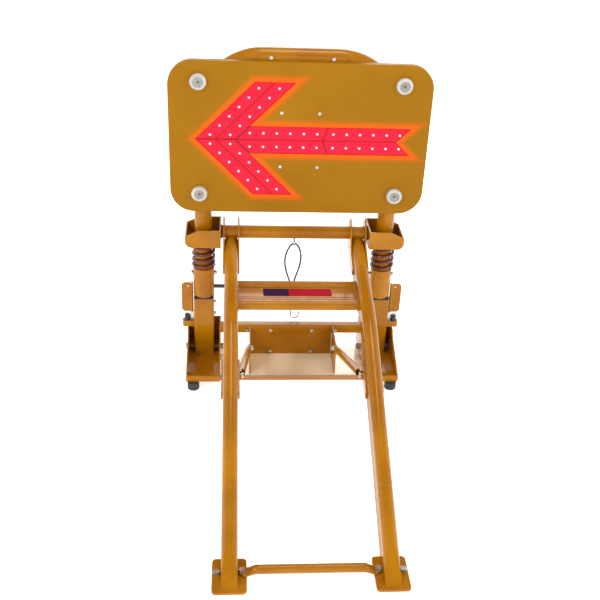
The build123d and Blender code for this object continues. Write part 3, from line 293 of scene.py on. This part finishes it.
# %% [markdown]
# ## Panel enamel and painted glow
# The panel is a flat pan in a satin amber. Near the lit arrow an orange glow is painted into the
# paint's colour, a painted glow standing for the boards' light. An arrow can be written as a
# distance:
# how far a point is outside it drives a soft blend to the painted orange glow on the panel, and how
# far a point is inside it, from the nearest edge or seam, darkens the boards along their lines:
# painted shade along the arrow's edges and dark joints along the seams. Both are a few steps of
# arithmetic on object coordinates.

# %% The arrow as a distance
TIP = -0.360
BAR = 0.098
HEAD_HALF = 0.202
TAIL = 0.387
SEAM = 0.080
SEAM_SLOPE = 0.347


def sums(tree, operation, first, second=0.0):
    """One step of arithmetic on two outputs or numbers."""
    step = tree.nodes.new("ShaderNodeMath")
    step.operation = operation
    for socket, value in zip(step.inputs, (first, second)):
        if isinstance(value, float):
            socket.default_value = value
        else:
            tree.links.new(value, socket)
    return step.outputs[0]


def arrow_fields(tree):
    """Two distances from the arrow, in metres, folded about the panel's middle height.
    The first is outside it: the larger of the distances past a bar's sides and ends, and the
    smaller of that for the head and for the shaft. The second is inside it: how far the nearest
    edge or seam is, where a seam runs down the middle of each bar."""
    x, _, z = axes(tree)
    height = sums(tree, "ABSOLUTE", sums(tree, "SUBTRACT", z, PANEL_MID))
    slanted = sums(tree, "SUBTRACT", sums(tree, "SUBTRACT", x, TIP), height)
    over = sums(tree, "MULTIPLY", slanted, math.sqrt(0.5))
    past = sums(tree, "SUBTRACT", over, BAR)
    head = sums(tree, "MAXIMUM", sums(tree, "MULTIPLY", over, -1.0), past)
    head = sums(tree, "MAXIMUM", head, sums(tree, "SUBTRACT", height, HEAD_HALF))
    notch = sums(tree, "SUBTRACT", sums(tree, "SUBTRACT", x, TAIL - BAR / 2), height)
    notch = sums(tree, "MULTIPLY", notch, math.sqrt(0.5))
    shaft = sums(tree, "MAXIMUM", sums(tree, "SUBTRACT", height, BAR / 2), notch)
    front = sums(tree, "SUBTRACT", TIP + BAR * math.sqrt(2), x)
    shaft = sums(tree, "MAXIMUM", shaft, front)
    outside = sums(tree, "MINIMUM", head, shaft)
    seam = sums(tree, "ABSOLUTE", sums(tree, "SUBTRACT", over, BAR / 2))
    joint = sums(tree, "SUBTRACT", sums(tree, "SUBTRACT", x, SEAM),
                 sums(tree, "MULTIPLY", height, SEAM_SLOPE))
    inside = sums(tree, "MINIMUM", sums(tree, "MULTIPLY", outside, -1.0), height)
    for line in (seam, sums(tree, "ABSOLUTE", past), sums(tree, "ABSOLUTE", joint)):
        inside = sums(tree, "MINIMUM", inside, line)
    return outside, inside


print("the arrow runs from x", TIP, "to", TAIL)

# %% Panel enamel and painted glow
panel_paint_with_glow = finish("panel_enamel_painted_glow", (0.315, 0.136, 0.0004), (0.275, 0.116, 0.0004), (0.34, 0.46),
                     patch=3.0, grain=520.0, lift=0.0001, Coat_Weight=0.06, Coat_Roughness=0.2,
                     Specular_IOR_Level=0.08)
# how far the painted glow of the boards' light reaches out onto the panel
PAINTED_GLOW_REACH = 0.030


def painted_glow_colour(tree, colour):
    """The colour, blended to a painted orange glow close to the arrow."""
    painted_glow_mask = measured(tree, arrow_fields(tree)[0], 0.0, PAINTED_GLOW_REACH, 0.75, 0.0)
    return blended(tree, painted_glow_mask, colour, (0.85, 0.09, 0.004))


repaint(panel_paint_with_glow, painted_glow_colour)
wear(["sign_panel"], panel_paint_with_glow)
print("panel enamel nodes:", len(panel_paint_with_glow.node_tree.nodes))

# %% [markdown]
# ## Lit lens boards
# The arrow is four red boards behind forty-eight lenses. The board is a translucent red plastic
# that glows all over, so its finish emits a little of its own colour; that glow is painted dimmer
# along the arrow's edges, a painted shade of the cut-out's rim, and along the seams, the dark
# joints between
# boards. Each lens is a dome: where it faces forward it burns white, and round its flank it fades
# to pink, which is a ramp on the object's own normal.

# %% Lit lens boards
board = finish("lens_board_red", (0.30, 0.001, 0.006), (0.22, 0.001, 0.004), (0.25, 0.4),
               patch=30.0, grain=900.0, Emission_Strength=0.85, Specular_IOR_Level=0.2)
tree = board.node_tree
inside = arrow_fields(tree)[1]
# the boards' glow dims close to the arrow's edges, a painted shade of the cut-out's rim, and close
# to the seams, dark joints between the boards
board_glow_edge_shaded = blended(tree, measured(tree, inside, 0.0005, 0.0075, 0.0, 1.0), (0.30, 0.001, 0.008),
              (1.0, 0.006, 0.045))
tree.links.new(board_glow_edge_shaded, tree.nodes["Principled BSDF"].inputs["Emission Color"])
wear(["led_modules"], board)
dome = finish("lens_dome_red", (1.0, 0.25, 0.32), (1.0, 0.18, 0.25), (0.08, 0.16), patch=60.0,
              Emission_Strength=1.1)
tree = dome.node_tree
facing = measured(tree, axes(tree, "Normal")["Y"], -0.35, -0.97, 0.0, 1.0)
hot = blended(tree, facing, (0.62, 0.16, 0.20), (1.0, 0.74, 0.74))
tree.links.new(hot, tree.nodes["Principled BSDF"].inputs["Emission Color"])
wear(["led_lenses"], dome)
carrier = finish("carrier_black", (0.03, 0.006, 0.007), (0.02, 0.004, 0.004), (0.4, 0.55))
wear(["led_carrier"], carrier)
print("lens finishes:", board.name, dome.name, carrier.name)

# %% [markdown]
# ## Small finishes
# Bolts are bright zinc with a cool, slightly mottled plate. Knobs, bushes and the lifting grip
# are moulded black plastic, the feet are rubber with a dry bloom, the spacer sleeves are painted
# dark brown as painted shade for the shadowed gaps they fill, and the control box is grey enamel.

# %% Small finishes
zinc = finish("zinc_plate", (0.62, 0.61, 0.57), (0.42, 0.42, 0.40), (0.22, 0.42), patch=45.0,
              grain=700.0, lift=0.00008, Metallic=1.0)
black = finish("moulded_black", (0.022, 0.022, 0.024), (0.012, 0.012, 0.013), (0.25, 0.42),
               patch=30.0, grain=900.0, lift=0.0001, Coat_Weight=0.25, Coat_Roughness=0.15)
rubber = finish("foot_rubber", (0.035, 0.034, 0.033), (0.018, 0.018, 0.018), (0.6, 0.85),
                patch=35.0, grain=800.0, lift=0.0003)
# dark brown: painted shade for the shadowed gaps beside the legs
shaded_spacer_finish = finish("dark_sleeve", (0.055, 0.03, 0.018), (0.03, 0.017, 0.01), (0.35, 0.5), patch=25.0)
box_grey = finish("box_grey", (0.30, 0.31, 0.32), (0.24, 0.25, 0.26), (0.35, 0.5), patch=8.0,
                  grain=500.0)
steel = finish("hook_steel", (0.45, 0.42, 0.38), (0.25, 0.22, 0.19), (0.25, 0.45), patch=80.0,
               grain=900.0, lift=0.00005, Metallic=1.0)
wear(["hanger_bolts", "u_bolts", "panel_screws", "collar_bolts", "post_bolts", "foot_bolts",
      "base_pivot_bolts", "tray_bolts", "strut_pivots", "eye_bolt", "flap_pins", "strut_pins",
      "ferrule"], zinc)
wear(["steel_hook"], steel)
wear(["lamp_nuts", "bracket_bushes", "post_bushes", "plunger_right", "plunger_left",
      "lift_grip"], black)
wear(["rubber_feet"], rubber)
wear(["base_spacers"], shaded_spacer_finish)
wear(["control_box", "control_box_lid"], box_grey)
print("small finishes given")

# %% [markdown]
# ## Corner lamps
# Each corner lamp is a milky ring round a grey reflector with fine ridges and a dark middle. The
# four lamps mirror one another, so the absolute values of X and Z fold them onto one, and the
# distance from its centre draws the ridges as a sine and the middle as a smooth step.

# %% Corner lamps
milky = finish("lamp_white", (0.52, 0.49, 0.43), (0.42, 0.40, 0.35), (0.22, 0.34), patch=25.0,
               grain=600.0, lift=0.00006, Coat_Weight=0.4, Coat_Roughness=0.08)
reflector = finish("lamp_grey", (0.30, 0.29, 0.26), (0.20, 0.195, 0.18), (0.18, 0.3), patch=60.0)
RIDGES = 1900.0


def ridged(tree, colour):
    """The colour with pale ridges at a sine of the distance from the lamp's centre."""
    x, _, z = axes(tree)
    off_x = sums(tree, "SUBTRACT", sums(tree, "ABSOLUTE", x), LAMP_X)
    middle = sums(tree, "SUBTRACT", z, PANEL_MID)
    off_z = sums(tree, "SUBTRACT", sums(tree, "ABSOLUTE", middle), LAMP_Z)
    radius = sums(tree, "SQRT", sums(tree, "ADD", sums(tree, "MULTIPLY", off_x, off_x),
                                     sums(tree, "MULTIPLY", off_z, off_z)))
    wave = sums(tree, "SINE", sums(tree, "MULTIPLY", radius, RIDGES))
    rings = measured(tree, wave, -1.0, 1.0, 0.0, 0.45)
    dark = measured(tree, radius, 0.0035, 0.0065, 0.75, 0.0)
    ringed = blended(tree, rings, colour, (0.45, 0.43, 0.38))
    return blended(tree, dark, ringed, (0.05, 0.04, 0.035))


repaint(reflector, ridged)
wear(["lamp_rings"], milky)
wear(["lamp_discs"], reflector)
print("lamp finishes:", milky.name, reflector.name)

# %% [markdown]
# ## Plain label
# The film on the tread is dark violet at its left and red on the rest, and it carries no
# letters. Its colours change with X alone, so one narrow step on the object's X coordinate
# prints it.

# %% Plain label
label = finish("label_film", (0.40, 0.006, 0.015), (0.34, 0.005, 0.012), (0.5, 0.62), patch=20.0,
               Specular_IOR_Level=0.03)
PRINT_EDGE = -0.031


def two_sided(tree, colour):
    """Dark violet left of the edge and the colour right of it, a millimetre between."""
    right = measured(tree, axes(tree)["X"], PRINT_EDGE, PRINT_EDGE + 0.001, 0.0, 1.0)
    return blended(tree, right, (0.030, 0.004, 0.035), colour)


repaint(label, two_sided)
wear(["step_label"], label)
print("label finish has", len(label.node_tree.nodes), "nodes")

# %% [markdown]
# ## Wound springs
# A compression spring is round wire on a helix, with its first and last coil closed so that it
# bears flat. The wire is a circle carried along that helix. The turn rate is even, but the climb
# per turn is one wire thick at the ends and wider between, so the height is a running sum.
# Enough rows keep the wire round.

# %% Carry a profile along a path
def carried(path, wide, tall, sides=16, upright=(0, 0, 1)):
    """Rings of an ellipse, wide by tall, square to the path at each of its points.
    The ring's side vector is the path's direction crossed with upright, and its other vector
    is that one crossed with the direction again."""
    way = np.gradient(path, axis=0)
    way /= np.linalg.norm(way, axis=1, keepdims=True)
    side = np.cross(way, np.array(upright, dtype=float))
    side /= np.linalg.norm(side, axis=1, keepdims=True)
    rise = np.cross(side, way)
    turn = np.linspace(0, 2 * np.pi, sides, endpoint=False)
    wide = np.broadcast_to(wide, len(path))[:, None, None]
    tall = np.broadcast_to(tall, len(path))[:, None, None]
    ring = wide * np.cos(turn)[None, :, None] * side[:, None, :]
    ring = ring + tall * np.sin(turn)[None, :, None] * rise[:, None, :]
    return path[:, None, :] + ring


def joined(name, grids):
    """One object made of several closed tubes, each a grid of points, joined into one mesh."""
    parts = [surface(f"{name}_{k}", grid, wrap=True, capped=True) for k, grid in enumerate(grids)]
    with bpy.context.temp_override(active_object=parts[0], selected_editable_objects=parts,
                                   selected_objects=parts):
        bpy.ops.object.join()
    parts[0].name = name
    return parts[0]


def dress(piece, material, body):
    """Gives a finished piece its material, the body that it moves with and its finish's slot."""
    piece.data.materials.clear()
    piece.data.materials.append(material)
    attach(piece, body)
    return piece


# %% Wound springs
WIRE_R = 0.006
COIL_R = 0.039
SPRING_LOW, SPRING_HIGH = 0.4095, 0.5035
TURNS = 4.6
turn = np.linspace(0, 2 * np.pi * TURNS, 240)
share = turn / turn[-1]
climb = 0.011 + 0.016 * np.clip(np.minimum(share, 1 - share) * 9 - 0.9, 0, 1)
rise = np.cumsum(climb) - climb[0]
rise = SPRING_LOW + (SPRING_HIGH - SPRING_LOW) * rise / rise[-1]
coils = []
for side in (-1, 1):
    helix = np.stack([side * LEG_X + COIL_R * np.cos(turn), MAST_Y + COIL_R * np.sin(turn), rise],
                     axis=-1)
    coils.append(carried(helix, WIRE_R, WIRE_R, sides=14))
spring_lacquer = finish("maroon_lacquer", (0.13, 0.006, 0.012), (0.06, 0.003, 0.006), (0.2, 0.32),
                        patch=40.0, Coat_Weight=0.35, Coat_Roughness=0.08)
springs = dress(joined("wound_springs", coils), spring_lacquer, "frame")
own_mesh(springs)
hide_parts("coil_springs")
print("spring faces:", len(springs.data.polygons))

# %% [markdown]
# ## Weld beads
# Steel tubes are joined by a bead of weld, which looks like a row of overlapping ripples under
# the paint. A bead is a small circle carried round the joint, with its radius swelling and
# shrinking in a sine along the way. One bead goes round each end of the cross tube, and one
# round each end of the tread.

# %% Weld beads
BEAD_R = 0.0026


def bead(path, ripples):
    """A thin tube along the path, whose radius is BEAD_R times one plus a small sine."""
    swell = 1 + 0.16 * np.sin(np.linspace(0, 2 * np.pi * ripples, len(path)))
    return carried(path, BEAD_R * swell, BEAD_R * swell, sides=8, upright=(1, 0, 0))


BRACKET_X, ARM_IN = 0.273, ARM_X - TUBE_R
SET_IN = 0.001
around = np.linspace(0, 2 * np.pi, 200)
tube_beads = []
for x in (-BRACKET_X + SET_IN, BRACKET_X - SET_IN):
    circle = np.stack([np.full_like(around, x), MAST_Y + TUBE_R * np.cos(around),
                       CROSS_TUBE_Z + TUBE_R * np.sin(around)], axis=-1)
    tube_beads.append(bead(circle, 30))
welds = dress(joined("cross_tube_welds", tube_beads), enamel, "frame")
NOSE_Y, BACK_Y = MAST_Y - 0.316, MAST_Y - 0.168
half_turn = np.linspace(np.pi / 2, 3 * np.pi / 2, 30)[1:-1]
NOSE_R, NOSE_Z = (TREAD_TOP - TREAD_LOW) / 2, (TREAD_TOP + TREAD_LOW) / 2
nose = np.stack([NOSE_Y + NOSE_R * np.cos(half_turn), NOSE_Z + NOSE_R * np.sin(half_turn)], axis=-1)
top = np.stack([np.linspace(BACK_Y, NOSE_Y, 80), np.full(80, TREAD_TOP)], axis=-1)
under = np.stack([np.linspace(NOSE_Y, BACK_Y, 80), np.full(80, TREAD_LOW)], axis=-1)
outline = np.vstack([top, nose, under])
tread_beads = []
for x in (-ARM_IN + SET_IN, ARM_IN - SET_IN):
    line = np.column_stack([np.full(len(outline), x), outline])
    tread_beads.append(bead(line, 46))
tread_welds = dress(joined("tread_welds", tread_beads), enamel, "arms")
print("bead faces:", len(welds.data.polygons) + len(tread_welds.data.polygons))

# %% [markdown]
# ## Board screws
# A small dark screw holds the lens boards between each pair of lenses. The head is a shallow
# dome: its height is its rise times one less the square of the share of its radius. The same
# small grid is added to every place as one array sum, so forty heads make one mesh.

# %% Board screws
SCREW_R, SCREW_RISE = 0.0023, 0.0008
PITCH, ROW = 0.0466, 0.0245
between = np.arange(5) + 0.5
heights = 0.181 - between * PITCH * math.sqrt(0.5)
head = [(TIP + heights + row * math.sqrt(2), heights) for row in (ROW, BAR - ROW)]
places = [np.stack([x, sign * z], axis=-1) for x, z in head for sign in (-1, 1)]
for start in (-0.173, 0.116):
    for z in (-ROW, ROW):
        along = start + between * PITCH
        places.append(np.stack([along, np.full_like(along, z)], axis=-1))
places = np.vstack(places)
SIDES = 10
spread, turn = np.meshgrid(np.array([1.0, 0.7, 0.05]),
                           np.linspace(0, 2 * np.pi, SIDES, endpoint=False), indexing="ij")
cap = np.stack([SCREW_R * spread * np.cos(turn), -SCREW_RISE * (1 - spread ** 2),
                SCREW_R * spread * np.sin(turn)], axis=-1).reshape(-1, 3)
seats = np.column_stack([places[:, 0], np.full(len(places), BOARD_FACE),
                         PANEL_MID + places[:, 1]])
verts = (seats[:, None, :] + cap[None, :, :]).reshape(-1, 3)
column = np.arange(SIDES)
following = (column + 1) % SIDES
ring = np.stack([column, following, following + SIDES, column + SIDES], axis=-1)
bands = np.vstack([ring, ring + SIDES])
first = np.arange(len(seats)) * len(cap)
faces = (bands[None] + first[:, None, None]).reshape(-1, 4).tolist()
faces += (column[None] + 2 * SIDES + first[:, None]).tolist()
faces += (column[None, ::-1] + first[:, None]).tolist()
mesh = bpy.data.meshes.new("board_screws")
mesh.from_pydata(verts.tolist(), [], faces)
screws = bpy.data.objects.new("board_screws", mesh)
bpy.context.collection.objects.link(screws)
# the red in the screws' colour is a painted glow of the red boards around them, over dark zinc
red_glow_dark_zinc = finish("red_glow_dark_zinc", (0.16, 0.02, 0.02), (0.08, 0.01, 0.01), (0.3, 0.5), patch=80.0,
                   Metallic=0.8)
dress(screws, red_glow_dark_zinc, "mast")
print("board screws:", len(places))

# %% [markdown]
# ## Pressed cross strap
# The strap between the feet is a tube whose ends are pressed flat and bolted down. Its section
# is an ellipse whose width and height change along X: round over the middle, then wider and
# thinner over a short smooth run, while its centre drops so that the flat lies on the plate.

# %% Pressed cross strap
STRAP_R = 0.0135
FLAT_HALF_W, FLAT_HALF_T = 0.018, 0.003
PLATE_TOP = 0.008
STRAP_Y = MAST_Y - 1.161
STRAP_END = 0.2005
run = np.linspace(0.135, STRAP_END, 34)
along = np.concatenate([-run[::-1], np.linspace(-0.12, 0.12, 9), run])
edge = np.clip((STRAP_END - 0.012 - np.abs(along)) / 0.035, 0, 1)
round_part = edge * edge * (3 - 2 * edge)
tall = FLAT_HALF_T + (STRAP_R - FLAT_HALF_T) * round_part
wide = FLAT_HALF_W + (STRAP_R - FLAT_HALF_W) * round_part
tip = np.sqrt(np.clip(1 - np.clip((np.abs(along) - 0.190) / 0.0118, 0, 1) ** 2, 0.02, 1))
line = np.stack([along, np.full_like(along, STRAP_Y), PLATE_TOP + tall + 0.0002], axis=-1)
strap = surface("pressed_strap", carried(line, wide * tip, tall, sides=40), wrap=True, capped=True)
dress(strap, enamel, "arms")
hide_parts("cross_strap")
print("strap reaches x", round(float(along.max()), 4))

# %% [markdown]
# ## Hanging cord
# A short black cord is looped through the eye on the cross tube, and its two ends meet in a zinc
# ferrule over a wire hook. It hangs under the hook's weight, so its two strands run nearly
# straight down and bow apart above. Its control points are the route's listed points, and a
# smooth curve through them keeps a real cord's even bend.

# %% Hanging cord
route = [(-0.006, 0.296), (-0.007, 0.328), (-0.020, 0.365), (-0.031, 0.404), (-0.033, 0.440),
         (-0.024, 0.474), (-0.009, 0.500), (0.009, 0.501), (0.023, 0.478), (0.029, 0.446),
         (0.025, 0.408), (0.013, 0.368), (0.003, 0.332), (0.002, 0.296)]
curve = bpy.data.curves.new("cord_line", "CURVE")
curve.dimensions = "3D"
spline = curve.splines.new("NURBS")
spline.points.add(len(route) - 1)
for point, (x, z) in zip(spline.points, route):
    point.co = (x, MAST_Y, z, 1)
spline.order_u = 3
spline.use_endpoint_u = True
spline.resolution_u = 8
curve.bevel_depth = 0.0035
curve.bevel_resolution = 4
curve.use_fill_caps = True
cord = bpy.data.objects.new("hanging_cord", curve)
bpy.context.collection.objects.link(cord)
sheath = finish("cord_sheath", (0.028, 0.026, 0.024), (0.014, 0.013, 0.012), (0.35, 0.55),
                patch=60.0, grain=1500.0, lift=0.0003)
curve.materials.append(sheath)
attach(cord, "hook_loop")
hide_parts("cord_loop")
print("cord control points:", len(route))

# %% [markdown] Studio paper
# Nothing that was added may stand outside the engineering model's box.

paper = finish("studio_paper", (0.93, 0.93, 0.93), (0.92, 0.92, 0.92), (0.7, 0.8), patch=1.0,
               Emission_Color=(1, 1, 1, 1), Emission_Strength=0.62, Specular_IOR_Level=0.0)
floor.data.materials.append(paper)
